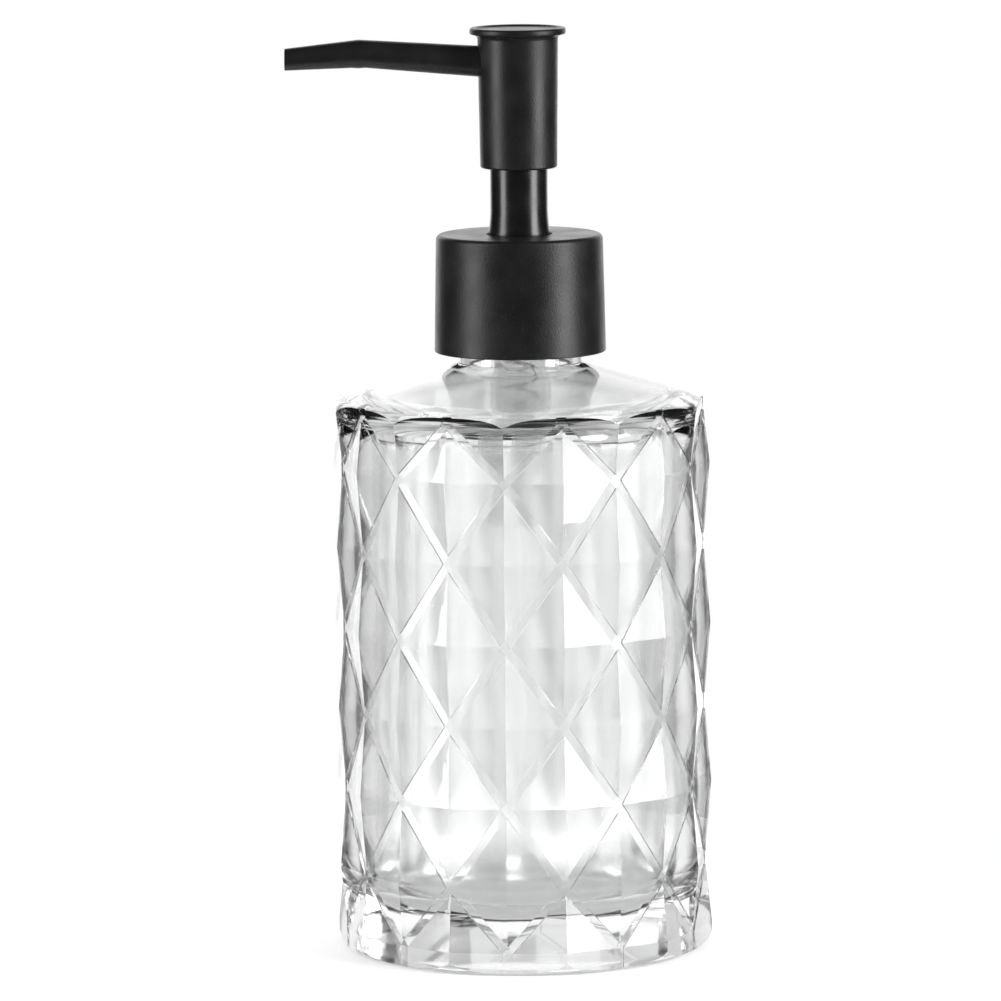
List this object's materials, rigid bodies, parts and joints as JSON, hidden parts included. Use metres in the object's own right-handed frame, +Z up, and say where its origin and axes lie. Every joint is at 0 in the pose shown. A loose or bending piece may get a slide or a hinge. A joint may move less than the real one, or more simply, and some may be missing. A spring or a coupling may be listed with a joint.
{
  "type": "soap pump dispenser",
  "caption": "Faceted clear glass soap bottle with a black screw collar and a push pump: head, long spout, spring, piston and check balls inside, dip tube down to the base.",
  "frame": {"origin": "centre of the foot ring under the glass bottle, on the axis of the bottle, where it stands", "axes": "+Z up the axis of the bottle and the pump, -X along the spout"},
  "size_m": [0.0833, 0.0746, 0.183],
  "materials": {
    "clear_glass": "polished",
    "black_metal": "satin",
    "gloss_black_plastic": "gloss",
    "black_plastic": "matte",
    "natural_plastic": "satin",
    "clear_tube": "satin",
    "soft_seal": "matte",
    "spring_steel": "satin",
    "ball_steel": "polished"
  },
  "bodies": {
    "bottle": {"glass_bottle": "clear_glass"},
    "pump_body": {"pump_housing": "natural_plastic", "guide_neck": "gloss_black_plastic", "stem_wiper": "soft_seal", "neck_gasket": "soft_seal", "dip_tube": "clear_tube", "ball_retainer": "natural_plastic", "return_spring": "spring_steel"},
    "collar": {"screw_closure": "black_plastic", "collar_shell": "black_metal"},
    "plunger": {"piston": "soft_seal", "piston_seat": "natural_plastic"},
    "head": {"stem": "natural_plastic", "head_core": "black_plastic", "head_sleeve": "black_metal", "head_cap": "black_metal", "spout_tube": "black_metal", "spout_liner": "clear_tube"},
    "inlet_valve": {"inlet_ball": "ball_steel"},
    "outlet_valve": {"outlet_ball": "ball_steel"}
  },
  "joints": [
    {"name": "closure_lift", "type": "slide", "parent": "bottle", "child": "pump_body", "axis": [0, 0, 1], "range_m": [0, 0.00635]},
    {"name": "collar_turn", "type": "hinge", "parent": "pump_body", "child": "collar", "pos_m": [0, 0, 0.125], "axis": [0, 0, 1], "range_deg": [0, 540]},
    {"name": "pump_stroke", "type": "slide", "parent": "pump_body", "child": "plunger", "axis": [0, 0, -1], "range_m": [0, 0.012], "stiffness_N_per_m": 500, "springref_m": -0.012, "deforming": ["return_spring"]},
    {"name": "spout_swivel", "type": "hinge", "parent": "plunger", "child": "head", "pos_m": [0, 0, 0.15], "axis": [0, 0, 1], "continuous": true},
    {"name": "inlet_ball_lift", "type": "slide", "parent": "pump_body", "child": "inlet_valve", "axis": [0, 0, 1], "range_m": [0, 0.0015]},
    {"name": "outlet_ball_lift", "type": "slide", "parent": "head", "child": "outlet_valve", "axis": [0, 0, 1], "range_m": [0, 0.0015]}
  ],
  "couplings": [
    {"joint": "collar_turn", "follows": "closure_lift", "rad_per_m": 1484.3}
  ]
}
